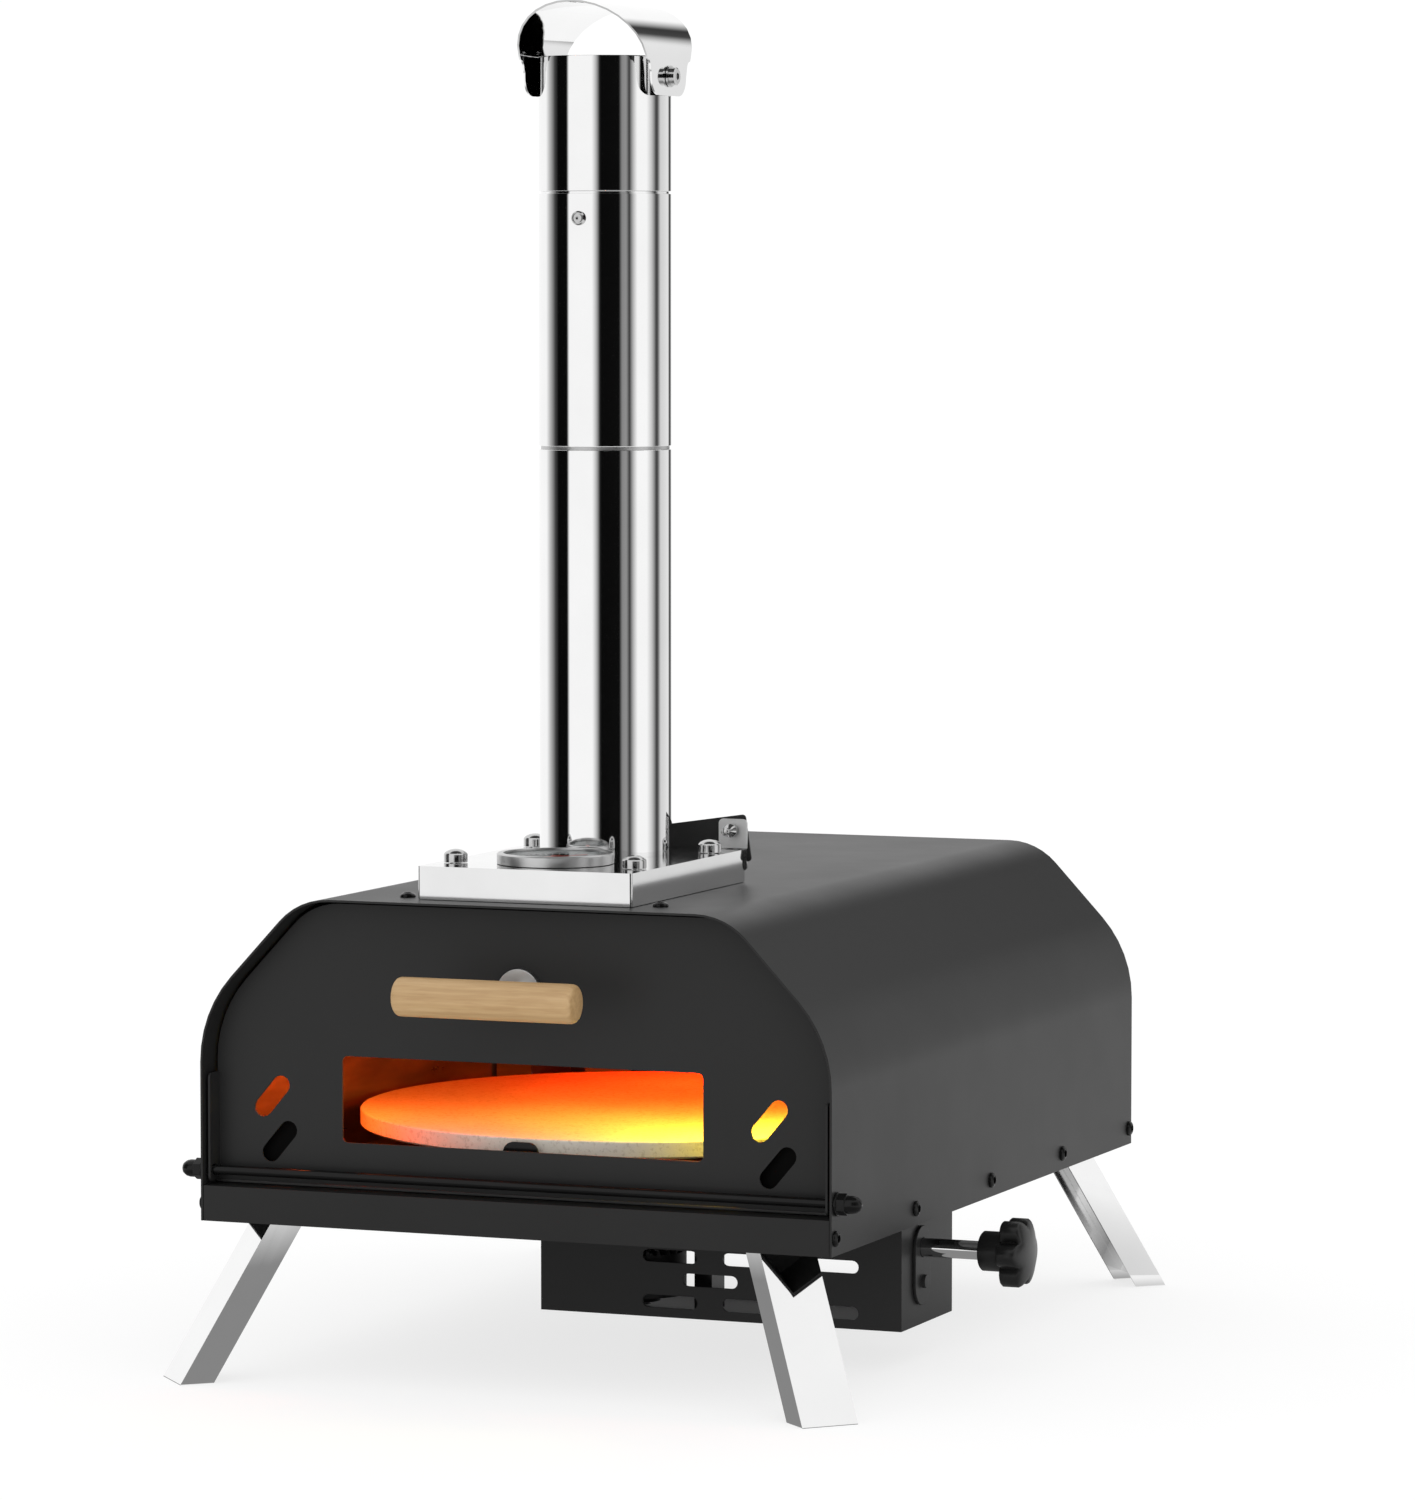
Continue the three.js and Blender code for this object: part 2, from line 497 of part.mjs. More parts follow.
// ---- folding legs -------------------------------------------------------------------------
const lean = rad(LEG.lean);
function legFrame(sx, sy) {
  const out = new THREE.Vector3(sx * Math.cos(rad(LEG.aim)), sy * Math.sin(rad(LEG.aim)), 0);
  const up = new THREE.Vector3(0, 0, 1);
  const along = out.clone().multiplyScalar(-Math.sin(lean)).addScaledVector(up, Math.cos(lean));
  const normal = out.clone().multiplyScalar(Math.cos(lean)).addScaledVector(up, Math.sin(lean));
  const side = new THREE.Vector3().crossVectors(normal, along);
  const footY = sy < 0 ? LEG.footY : BODY.depth - LEG.footY;
  const run = (HINGE.z - LEG.ground + HINGE.web * Math.sin(lean)) / Math.cos(lean);
  const pivot = new THREE.Vector3(sx * LEG.footX, footY, LEG.ground)
    .addScaledVector(normal, -HINGE.web).addScaledVector(along, run);
  return { out, side, along, normal, pivot };
}
function placed(solid, x, y, z, at) {
  const m = new THREE.Matrix4().makeBasis(x, y, z).setPosition(at);
  const g = toGeometry(solid);
  g.applyMatrix4(m);
  return toSolid(g);
}
const ground = box(-400, 400, -300, 800, LEG.ground - 100, LEG.ground);
const half = LEG.web / 2;
const hang = panUnder - GAP - HINGE.z;
const legs = [['front_left', -1, -1], ['front_right', 1, -1],
  ['rear_left', -1, 1], ['rear_right', 1, 1]];
legs.forEach(([where, sx, sy]) => {
  const f = legFrame(sx, sy);
  const channel = cut(
    box(-half, half, HINGE.web - LEG.flange, HINGE.web, -120, HINGE.end),
    box(-half + 1.2, half - 1.2, HINGE.web - LEG.flange - 1, HINGE.web - 1.2, -121, HINGE.end + 1),
    rod('x', HINGE.pin + 0.3, -half - 1, half + 1, 0, 0, 12),
  );
  piece(`leg_${where}`, placed(channel, f.side, f.normal, f.along, f.pivot).subtract(ground),
    mirror);
  const cheek = half - 1.2 - 0.4;
  const flat = new THREE.Vector3(0, 0, 1);
  const profile = new THREE.Shape();
  profile.moveTo(-26, hang);
  profile.lineTo(-26, 4);
  profile.lineTo(-6, -4.2);
  profile.absarc(0, 0, 4.2, Math.PI * 1.35, Math.PI * 2.25, false);
  profile.lineTo(-4, hang);
  profile.closePath();
  const bracket = cut(
    prism('x', profile, -cheek, cheek),
    box(-cheek + 1.5, cheek - 1.5, -40, 20, -20, hang - 1.5),
    rod('x', HINGE.pin + 0.3, -half - 1, half + 1, 0, 0, 12),
  );
  const across = new THREE.Vector3().crossVectors(f.out, flat);
  piece(`leg_bracket_${where}`, placed(bracket, across, f.out, flat, f.pivot), blackOxide);
  const pin = turned('x', [
    [0, -half - 1.6], [3.4, -half - 1.6], [4, -half - 1], [4, -half - GAP],
    [HINGE.pin, -half - GAP], [HINGE.pin, half + GAP], [4, half + GAP], [4, half + 1],
    [3.4, half + 1.6], [0, half + 1.6]], [0, 0, 0], 14);
  piece(`leg_pin_${where}`, placed(pin, f.side, f.normal, f.along, f.pivot), steel);
});

// ---- turntable drive ----------------------------------------------------------------------
const G = GEARBOX;
const boxTop = panUnder - GAP;
const hollow = box(G.x0 + 1.2, G.x1 - 1.2, G.y0 + 1.2, G.y1 - 1.2, G.bottom + 1.2, 30);
const frontSlots = [[15.4, 40, -27.7], [61, 131, -27.7], [38.3, 62.8, -39.7], [15.4, 40, -52],
  [61, 131, -52]];
piece('gear_housing', cut(
  box(G.x0, G.x1, G.y0, G.y1, G.bottom, boxTop),
  hollow,
  ...frontSlots.map(([a, b, z]) => prism('y', stadium(a, z, b, z, 3.4), G.y0 - 5, G.y0 + 5)),
  prism('y', rounded(G.x0 + 8, G.x1 - 8, G.bottom + 3, -6, 4), G.y1 - 5, G.y1 + 5),
  rod('x', DRIVE.r + 2.4, 100, 200, DRIVE.y, DRIVE.z),
), paint);
const plate = stadium(DRIVE.y, DRIVE.z, DRIVE.y, DRIVE.z - 19, 11.5);
piece('bearing_plate', cut(
  join(
    prism('x', plate, G.x1 + GAP, G.x1 + 1.8, 8),
    rod('x', DRIVE.r + 2, G.x1 - 6, G.x1 + 1, DRIVE.y, DRIVE.z),
    rod('x', 3.6, G.x1 + 1, G.x1 + 4, DRIVE.y, DRIVE.z - 18, 14),
  ),
  rod('x', DRIVE.r + 0.3, 100, 200, DRIVE.y, DRIVE.z),
), blackOxide);

const wheelTop = DRIVE.z - GEAR.pinionR;
const pitch = GEAR.toothH / 2;
const wheelRim = [[0, G.bottom + 4], [10, G.bottom + 4], [10, G.bottom + 8],
  [GEAR.wheelR + GEAR.face, G.bottom + 8], [GEAR.wheelR + GEAR.face, wheelTop - pitch],
  [GEAR.wheelR - GEAR.face, wheelTop - pitch], [GEAR.wheelR - 5, G.bottom + 14],
  [0, G.bottom + 14]];
const wheelTooth = new THREE.Shape();
wheelTooth.moveTo(-1.3, wheelTop - pitch - 1);
wheelTooth.lineTo(1.3, wheelTop - pitch - 1);
wheelTooth.lineTo(0.6, wheelTop + pitch - 0.4);
wheelTooth.lineTo(-0.6, wheelTop + pitch - 0.4);
wheelTooth.closePath();
const wheelTeeth = Array.from({ length: GEAR.wheelTeeth }, (_, i) =>
  prism('x', wheelTooth, GEAR.wheelR - GEAR.face + 0.3, GEAR.wheelR + GEAR.face - 0.3)
    .rotate([0, 0, i * 360 / GEAR.wheelTeeth])
    .translate([0, STONE.y, 0]));
piece('crown_wheel', join(
  turned('z', wheelRim, [0, STONE.y, 0], 36), ...wheelTeeth,
).subtract(rod('z', 5.3, -100, 0, 0, STONE.y)), castIron);

const phase = 180 / GEAR.pinionTeeth;
const pinionTooth = new THREE.Shape();
pinionTooth.moveTo(-1.4, GEAR.pinionR - pitch - 1);
pinionTooth.lineTo(1.4, GEAR.pinionR - pitch - 1);
pinionTooth.lineTo(0.6, GEAR.pinionR + pitch - 0.6);
pinionTooth.lineTo(-0.6, GEAR.pinionR + pitch - 0.6);
pinionTooth.closePath();
const pinionX = [GEAR.wheelR - GEAR.face, GEAR.wheelR + GEAR.face];
const teeth = Array.from({ length: GEAR.pinionTeeth }, (_, i) =>
  prism('x', pinionTooth, ...pinionX).rotate([i * 360 / GEAR.pinionTeeth + phase, 0, 0])
    .translate([0, DRIVE.y, DRIVE.z]));
piece('drive_pinion', join(
  rod('x', GEAR.pinionR - pitch, pinionX[0], pinionX[1], DRIVE.y, DRIVE.z, 24),
  rod('x', 7, pinionX[1] - 1, pinionX[1] + 8, DRIVE.y, DRIVE.z),
  ...teeth,
).subtract(rod('x', DRIVE.r + 0.3, 0, 100, DRIVE.y, DRIVE.z)), castIron);
piece('drive_shaft', join(
  rod('x', DRIVE.r, 13, DRIVE.end, DRIVE.y, DRIVE.z),
  rod('x', 7, 12.6, 16.4, DRIVE.y, DRIVE.z),
), mirror);
piece('inner_bearing', cut(
  join(
    box(34, 44, DRIVE.y - 9, DRIVE.y + 9, G.bottom + 1.5, DRIVE.z),
    rod('x', 9, 34, 44, DRIVE.y, DRIVE.z),
  ),
  rod('x', DRIVE.r + 0.3, 0, 100, DRIVE.y, DRIVE.z)), blackOxide);

const carrierTop = STONE.top - STONE.thick - GAP;
piece('turntable_spindle', join(
  rod('z', 5, G.bottom + 2, carrierTop - 4.3, 0, STONE.y),
  rod('z', 7.5, wheelTop + 6, wheelTop + 9, 0, STONE.y),
), steel);
piece('spindle_bush', cut(
  join(
    rod('z', 14, linerFoot, linerFoot + 2, 0, STONE.y),
    rod('z', 8.6, 8, linerFoot + 1, 0, STONE.y),
  ),
  rod('z', 5.3, -40, 40, 0, STONE.y)), steel);
const arms = [0, 60, 120].map((turn) =>
  box(-118, 118, -9, 9, carrierTop - 2.5, carrierTop).rotate([0, 0, turn]));
piece('stone_carrier', cut(
  join(
    join(...arms).translate([0, STONE.y, 0]),
    rod('z', 34, carrierTop - 2.5, carrierTop, 0, STONE.y, 32),
    rod('z', 11, carrierTop - 15, carrierTop - 1, 0, STONE.y),
  ),
  rod('z', 5.3, carrierTop - 30, carrierTop - 4, 0, STONE.y)), steel);
const stoneFoot = STONE.top - STONE.thick;
piece('pizza_stone', turned('z', [
  [0, stoneFoot], [STONE.r - 1, stoneFoot], [STONE.r, stoneFoot + 1], [STONE.r, STONE.top - 1],
  [STONE.r - 1, STONE.top], [0, STONE.top]], [0, STONE.y, 0], 64), cordierite);

// Star knob: a hub, six lobes round it and a domed face.
const knobX = DRIVE.end + 0.2;
const lobes = Array.from({ length: 6 }, (_, i) => {
  const t = rad(i * 60 + 30);
  return rod('x', 6, knobX + 7.3, knobX + 18,
    DRIVE.y + 13 * Math.cos(t), DRIVE.z + 13 * Math.sin(t), 20);
});
piece('star_knob', cut(
  join(
    rod('x', 10.5, knobX - 5.5, knobX + 8, DRIVE.y, DRIVE.z, 28),
    rod('x', 14.2, knobX + 7.3, knobX + 18, DRIVE.y, DRIVE.z, 36),
    turned('x', [[0, knobX + 17], [16, knobX + 17], [15.6, knobX + 18.6], [12, knobX + 20.6],
      [7, knobX + 21.4], [0, knobX + 21.7]], [0, DRIVE.y, DRIVE.z], 36),
    ...lobes,
  ),
  rod('x', DRIVE.r + 0.3, knobX - 20, knobX + 0.3, DRIVE.y, DRIVE.z)), plastic);

// ---- feet on the ground, footprint centred ------------------------------------------------
const bounds = new THREE.Box3();
group.children.forEach((mesh) => {
  mesh.geometry.computeBoundingBox();
  bounds.union(mesh.geometry.boundingBox);
});
const centre = bounds.getCenter(new THREE.Vector3());
group.children.forEach((mesh) => {
  mesh.geometry.translate(-centre.x, -centre.y, -bounds.min.z);
});

export default group;
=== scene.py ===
import math
import random

import bmesh
import bpy
from mathutils import Matrix, Vector


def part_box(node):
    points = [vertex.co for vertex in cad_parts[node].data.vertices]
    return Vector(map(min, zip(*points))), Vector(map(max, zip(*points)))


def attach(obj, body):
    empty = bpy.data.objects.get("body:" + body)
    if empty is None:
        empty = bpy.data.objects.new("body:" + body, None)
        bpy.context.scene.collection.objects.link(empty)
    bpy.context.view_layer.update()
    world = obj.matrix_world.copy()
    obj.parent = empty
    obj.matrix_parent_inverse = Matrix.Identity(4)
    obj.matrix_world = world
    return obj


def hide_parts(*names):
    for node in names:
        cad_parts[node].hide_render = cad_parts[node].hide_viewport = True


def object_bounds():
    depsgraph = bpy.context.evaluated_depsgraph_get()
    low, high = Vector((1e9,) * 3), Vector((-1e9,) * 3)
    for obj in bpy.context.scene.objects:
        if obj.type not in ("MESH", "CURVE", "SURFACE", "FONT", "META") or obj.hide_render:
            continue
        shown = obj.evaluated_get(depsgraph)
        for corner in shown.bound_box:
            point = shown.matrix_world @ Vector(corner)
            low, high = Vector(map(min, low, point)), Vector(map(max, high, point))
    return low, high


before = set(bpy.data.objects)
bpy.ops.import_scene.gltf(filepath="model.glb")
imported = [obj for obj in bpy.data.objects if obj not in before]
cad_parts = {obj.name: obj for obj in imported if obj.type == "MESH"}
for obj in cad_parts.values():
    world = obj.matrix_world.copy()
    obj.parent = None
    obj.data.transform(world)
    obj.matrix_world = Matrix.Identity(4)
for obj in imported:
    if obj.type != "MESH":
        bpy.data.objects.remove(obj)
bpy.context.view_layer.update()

# Design millimetres: x = 0 on the centreline, y = 0 at the body's front, z = 0 at its lower edge.
_lo, _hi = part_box("outer_shell")
ORIGIN = Vector(((_lo.x + _hi.x) / 2, _lo.y, _lo.z))
MM = 0.001


def at(x, y, z):
    return ORIGIN + Vector((x, y, z)) * MM


# ---- materials ----------------------------------------------------------------------------
def new_material(name):
    m = bpy.data.materials.new(name)
    m.use_nodes = True
    nodes = m.node_tree.nodes
    return m, nodes, m.node_tree.links, nodes["Principled BSDF"]


def coordinates(nodes, links, scale):
    coord = nodes.new("ShaderNodeTexCoord")
    mapping = nodes.new("ShaderNodeMapping")
    mapping.inputs["Scale"].default_value = scale
    links.new(coord.outputs["Object"], mapping.inputs["Vector"])
    return mapping.outputs["Vector"]


def noise(nodes, links, vector, scale, detail=3.0, rough=0.5):
    n = nodes.new("ShaderNodeTexNoise")
    n.inputs["Scale"].default_value = scale
    n.inputs["Detail"].default_value = detail
    n.inputs["Roughness"].default_value = rough
    links.new(vector, n.inputs["Vector"])
    return n.outputs["Fac"]


def ramp(nodes, links, fac, stops):
    r = nodes.new("ShaderNodeValToRGB")
    elements = r.color_ramp.elements
    while len(elements) < len(stops):
        elements.new(0.5)
    for element, (place, colour) in zip(elements, stops):
        element.position = place
        element.color = (*colour, 1)
    links.new(fac, r.inputs["Fac"])
    return r.outputs["Color"]


def spread(nodes, links, fac, low, high, cut=(0.3, 0.7)):
    m = nodes.new("ShaderNodeMapRange")
    m.inputs["From Min"].default_value, m.inputs["From Max"].default_value = cut
    m.inputs["To Min"].default_value, m.inputs["To Max"].default_value = low, high
    links.new(fac, m.inputs["Value"])
    return m.outputs["Result"]


def glow(bsdf, colour, strength, links):
    """Turns a material into a plain light source with no reflections of its own."""
    bsdf.inputs["Base Color"].default_value = (0, 0, 0, 1)
    bsdf.inputs["Specular IOR Level"].default_value = 0
    bsdf.inputs["Roughness"].default_value = 1
    links.new(colour, bsdf.inputs["Emission Color"])
    bsdf.inputs["Emission Strength"].default_value = strength


def bump(nodes, links, height, bsdf, strength, distance):
    b = nodes.new("ShaderNodeBump")
    b.inputs["Strength"].default_value = strength
    b.inputs["Distance"].default_value = distance
    links.new(height, b.inputs["Height"])
    links.new(b.outputs["Normal"], bsdf.inputs["Normal"])


def surface(name, dark, light, rough, metal=0.0, patch=9.0, grain=700.0, relief=0.1,
            depth=0.0002, stretch=(1, 1, 1), specular=0.5):
    """A procedural finish: slow colour patches, a fine grain in the relief, uneven roughness."""
    m, nodes, links, bsdf = new_material(name)
    vector = coordinates(nodes, links, stretch)
    slow = noise(nodes, links, vector, patch, 4.0, 0.6)
    fine = noise(nodes, links, vector, grain, 2.0)
    links.new(ramp(nodes, links, slow, [(0.3, dark), (0.7, light)]), bsdf.inputs["Base Color"])
    links.new(spread(nodes, links, slow, *rough), bsdf.inputs["Roughness"])
    bump(nodes, links, fine, bsdf, relief, depth)
    bsdf.inputs["Metallic"].default_value = metal
    bsdf.inputs["Specular IOR Level"].default_value = specular
    return m


def grey(v):
    return (v, v, v)


PAINT = surface("powder_coat", grey(0.02), grey(0.023), (0.38, 0.44), grain=1500, relief=0.08,
                depth=0.0001, specular=0.17)
PAN = surface("pan_coat", grey(0.022), grey(0.025), (0.4, 0.46), grain=1500, relief=0.08,
              depth=0.0001, specular=0.1)
# The front frame is black, and its near-black coat, darker than the other black parts, is also
# painted shade for the door slots.
SHADE = surface("painted_shade_frame", grey(0.0015), grey(0.003), (0.6, 0.7), patch=20, specular=0.05)
BLACK = surface("black_oxide", grey(0.004), grey(0.007), (0.14, 0.22), grain=900, relief=0.04,
                specular=0.2)
SATIN = surface("satin_stainless", grey(0.6), grey(0.68), (0.34, 0.42), metal=1, patch=20,
                grain=420, relief=0.03, depth=0.00006, stretch=(1, 6, 6))
MIRROR = surface("polished_stainless", grey(0.86), grey(0.9), (0.025, 0.05), metal=1,
                 patch=14, grain=260, relief=0.006, depth=0.0001)
STEEL = surface("brushed_steel", grey(0.46), grey(0.58), (0.24, 0.36), metal=1,
                patch=30, grain=500, relief=0.12, depth=0.00008, stretch=(1, 8, 8))
SCREW = surface("screw_steel", grey(0.5), grey(0.62), (0.1, 0.16), metal=1, patch=60,
                grain=800, relief=0.04)
HEARTH = surface("hearth_steel", grey(0.06), grey(0.11), (0.45, 0.6), metal=0.9, patch=18,
                 grain=420, relief=0.1)
SOOT = surface("heat_stained_steel", (0.09, 0.05, 0.035), (0.19, 0.11, 0.08), (0.26, 0.4),
               metal=0.55, patch=16, grain=420, relief=0.15, stretch=(1, 1, 6))
IRON = surface("cast_iron", grey(0.02), grey(0.05), (0.45, 0.65), metal=0.6, patch=40,
               grain=900, relief=0.4)
PLASTIC = surface("moulded_plastic", grey(0.007), grey(0.01), (0.3, 0.4), patch=25, grain=1300,
                  relief=0.08, specular=0.4)
DIAL = surface("dial_enamel", grey(0.012), grey(0.018), (0.55, 0.65), patch=40, grain=900,
               relief=0.05, specular=0.03)
MARK = surface("dial_marks", (0.7, 0.7, 0.68), (0.8, 0.8, 0.78), (0.5, 0.6), patch=60)
NEEDLE = surface("needle_red", (0.5, 0.05, 0.03), (0.62, 0.08, 0.04), (0.35, 0.45), patch=60)


def make_wood():
    m, nodes, links, bsdf = new_material("turned_beech")
    along = coordinates(nodes, links, (9, 260, 260))
    flecks = coordinates(nodes, links, (60, 600, 600))
    grain = noise(nodes, links, along, 1.2, 4.0, 0.6)
    fleck = noise(nodes, links, flecks, 1.0, 2.0)
    colour = ramp(nodes, links, grain, [
        (0.3, (0.43, 0.265, 0.115)), (0.5, (0.5, 0.32, 0.145)), (0.7, (0.56, 0.37, 0.18))])
    tint = ramp(nodes, links, fleck, [(0.35, (0.8, 0.72, 0.64)), (0.55, (1, 1, 1))])
    mix = nodes.new("ShaderNodeMixRGB")
    mix.blend_type = "MULTIPLY"
    mix.inputs["Fac"].default_value = 0.4
    links.new(colour, mix.inputs["Color1"])
    links.new(tint, mix.inputs["Color2"])
    links.new(mix.outputs["Color"], bsdf.inputs["Base Color"])
    links.new(spread(nodes, links, grain, 0.42, 0.58), bsdf.inputs["Roughness"])
    bump(nodes, links, fleck, bsdf, 0.15, 0.0002)
    return m


def make_stone():
    m, nodes, links, bsdf = new_material("fired_cordierite")
    vector = coordinates(nodes, links, (1, 1, 1))
    patch = noise(nodes, links, vector, 11, 5.0, 0.6)
    speck = noise(nodes, links, vector, 420, 3.0, 0.7)
    colour = ramp(nodes, links, patch, [(0.3, (0.6, 0.54, 0.46)), (0.7, (0.74, 0.69, 0.62))])
    dots = ramp(nodes, links, speck, [(0.36, (0.6, 0.55, 0.5)), (0.47, (1, 1, 1))])
    mix = nodes.new("ShaderNodeMixRGB")
    mix.blend_type = "MULTIPLY"
    mix.inputs["Fac"].default_value = 0.5
    links.new(colour, mix.inputs["Color1"])
    links.new(dots, mix.inputs["Color2"])
    links.new(mix.outputs["Color"], bsdf.inputs["Base Color"])
    links.new(spread(nodes, links, patch, 0.75, 0.9), bsdf.inputs["Roughness"])
    bump(nodes, links, speck, bsdf, 0.35, 0.0004)
    return m


def make_glass():
    m, nodes, links, bsdf = new_material("gauge_glass")
    vector = coordinates(nodes, links, (1, 1, 1))
    smear = noise(nodes, links, vector, 30, 2.0)
    links.new(spread(nodes, links, smear, 0.01, 0.05), bsdf.inputs["Roughness"])
    bsdf.inputs["Base Color"].default_value = (0.7, 0.72, 0.72, 1)
    bsdf.inputs["Transmission Weight"].default_value = 1
    bsdf.inputs["IOR"].default_value = 1.015
    return m


LUG_FOOT = 187.8


def make_plinth():
    """Satin sheet whose upright lug, above the plinth's top, is left brushed."""
    m = surface("plinth_stainless", grey(0.76), grey(0.82), (0.1, 0.14), metal=1, patch=20,
                grain=420, relief=0.012, depth=0.00005)
    nodes, links = m.node_tree.nodes, m.node_tree.links
    place = nodes.new("ShaderNodeNewGeometry")
    split = nodes.new("ShaderNodeSeparateXYZ")
    links.new(place.outputs["Position"], split.inputs["Vector"])
    lug = at(0, 0, LUG_FOOT).z
    rough = spread(nodes, links, split.outputs["Z"], 0.1, 0.5, (lug, lug + 0.0004))
    links.new(rough, nodes["Principled BSDF"].inputs["Roughness"])
    return m


WOOD = make_wood()
SHEET = make_plinth()
STONE = make_stone()
GLASS = make_glass()

# ---- the CAD nodes that stay: finish, welded corners and eased edges ------------------------
FINISH = {
    "outer_shell": PAINT, "base_pan": PAN, "back_panel": PAINT, "fuel_tray": PAINT,
    "draught_flap": PAINT, "door_panel": PAINT, "gear_housing": PAINT, "bearing_plate": PAINT,
    "hearth_plate": HEARTH, "front_frame": SHADE, "fire_liner": SOOT, "flame_baffle": SOOT,
    "fuel_grate": IRON, "crown_wheel": IRON, "drive_pinion": IRON, "chimney_plinth": SHEET,
    "flap_pin": SCREW, "pipe_coupler": STEEL, "handle_disc": SATIN, "handle_post": SCREW,
    "door_catch": BLACK, "hinge_rod": BLACK, "drive_shaft": MIRROR, "inner_bearing": BLACK,
    "turntable_spindle": STEEL, "spindle_bush": STEEL, "stone_carrier": STEEL,
    "pipe_rivet": SCREW, "cap_bolt_left": SCREW, "cap_bolt_right": SCREW,
    "gauge_needle": NEEDLE, "gauge_dial": DIAL, "gauge_glass": GLASS, "gauge_case": SATIN,
    "tray_knob": WOOD, "wood_handle": WOOD, "pizza_stone": STONE, "star_knob": PLASTIC,
    "pipe_lower": MIRROR, "pipe_upper": MIRROR, "pipe_top": MIRROR, "rain_cap": MIRROR,
    "cap_nut_left": BLACK, "cap_nut_right": BLACK,
}
CORNERS = {"front_left": (-50, 45), "front_right": (50, 45),
           "rear_left": (-50, 148), "rear_right": (50, 148)}
for corner in CORNERS:
    FINISH["leg_" + corner] = MIRROR
    FINISH["leg_bracket_" + corner] = BLACK
    FINISH["leg_pin_" + corner] = SCREW
    FINISH["plinth_screw_" + corner] = SCREW

EASED = {
    "outer_shell": 0.25, "back_panel": 0.2, "door_panel": 0.25,
    "gear_housing": 0.3, "chimney_plinth": 0.25, "draught_flap": 0.2, "fuel_tray": 0.2,
    "hearth_plate": 0.2, "front_frame": 0.2, "handle_disc": 0.3, "cap_nut_left": 0.4,
    "cap_nut_right": 0.4, "bearing_plate": 0.3, "door_catch": 0.2,
}
for corner in CORNERS:
    EASED["leg_" + corner] = 0.5


def smooth_shading(obj, angle=32.0, ease=0.0):
    obj.data.polygons.foreach_set("use_smooth", [True] * len(obj.data.polygons))
    weld = obj.modifiers.new("weld", "WELD")
    weld.merge_threshold = 0.00002
    if ease:
        bevel = obj.modifiers.new("eased_edges", "BEVEL")
        bevel.width = ease * MM
        bevel.segments = 2
        bevel.limit_method = "ANGLE"
        bevel.angle_limit = math.radians(angle)
        even = obj.modifiers.new("flat_faces", "WEIGHTED_NORMAL")
        even.weight = 100
        even.keep_sharp = False
        return
    split = obj.modifiers.new("corners", "EDGE_SPLIT")
    split.split_angle = math.radians(angle)


for name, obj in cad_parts.items():
    obj.data.materials.clear()
    obj.data.materials.append(FINISH[name])
    smooth_shading(obj, ease=EASED.get(name, 0.0))


# ---- making pieces ------------------------------------------------------------------------
def fillet(points, radius, steps=5):
    """Rounds the corners of a closed flat outline of (a, b) pairs."""
    out = []
    count = len(points)
    for i, p in enumerate(points):
        here = Vector(p)
        before, after = Vector(points[i - 1]) - here, Vector(points[(i + 1) % count]) - here
        bend = before.angle(after)
        reach = min(radius / math.tan(bend / 2), before.length * 0.48, after.length * 0.48)
        if bend > math.radians(172) or reach < 1e-4:
            out.append(p)
            continue
        start, end = here + before.normalized() * reach, here + after.normalized() * reach
        for k in range(steps + 1):
            t = k / steps
            q = start * (1 - t) ** 2 + here * 2 * t * (1 - t) + end * t ** 2
            out.append((q.x, q.y))
    return out


AXES = {"x": (Vector((0, 1, 0)), Vector((0, 0, 1)), Vector((1, 0, 0))),
        "y": (Vector((0, 0, 1)), Vector((1, 0, 0)), Vector((0, 1, 0))),
        "z": (Vector((1, 0, 0)), Vector((0, 1, 0)), Vector((0, 0, 1)))}


def turned(profile, axis, centre, steps=96, closed=False):
    """Vertices and faces of a lathe form. The profile is (radius, distance along the axis)."""
    u, v, w = AXES[axis]
    verts, rings = [], []
    for r, h in profile:
        base = at(*centre) + w * h * MM
        if r < 1e-6:
            rings.append([len(verts)])
            verts.append(base)
            continue
        rings.append(list(range(len(verts), len(verts) + steps)))
        for k in range(steps):
            t = 2 * math.pi * k / steps
            verts.append(base + (u * math.cos(t) + v * math.sin(t)) * r * MM)
    faces = []
    pairs = list(zip(rings, rings[1:])) + ([(rings[-1], rings[0])] if closed else [])
    for a, b in pairs:
        for k in range(steps):
            n = (k + 1) % steps
            if len(a) == 1 and len(b) == 1:
                continue
            if len(a) == 1:
                faces.append((a[0], b[n], b[k]))
            elif len(b) == 1:
                faces.append((a[k], a[n], b[0]))
            else:
                faces.append((a[k], a[n], b[n], b[k]))
    return verts, faces


def make_piece(name, parts, material, body, replaced=(), angle=32.0):
    """One mesh from one or more (vertices, faces) parts, with outward faces."""
    verts, faces = [], []
    for part_verts, part_faces in parts:
        start = len(verts)
        verts += part_verts
        faces += [tuple(start + i for i in face) for face in part_faces]
    mesh = bpy.data.meshes.new(name)
    mesh.from_pydata([tuple(p) for p in verts], [], faces)
    work = bmesh.new()
    work.from_mesh(mesh)
    bmesh.ops.recalc_face_normals(work, faces=work.faces)
    for edge in work.edges:
        if len(edge.link_faces) == 2:
            edge.smooth = edge.calc_face_angle(0) < math.radians(angle)
    work.to_mesh(mesh)
    work.free()
    mesh.polygons.foreach_set("use_smooth", [True] * len(mesh.polygons))
    mesh.materials.append(material)
    obj = bpy.data.objects.new(name, mesh)
    bpy.context.scene.collection.objects.link(obj)
    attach(obj, body)
    if replaced:
        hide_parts(*replaced)
    return obj


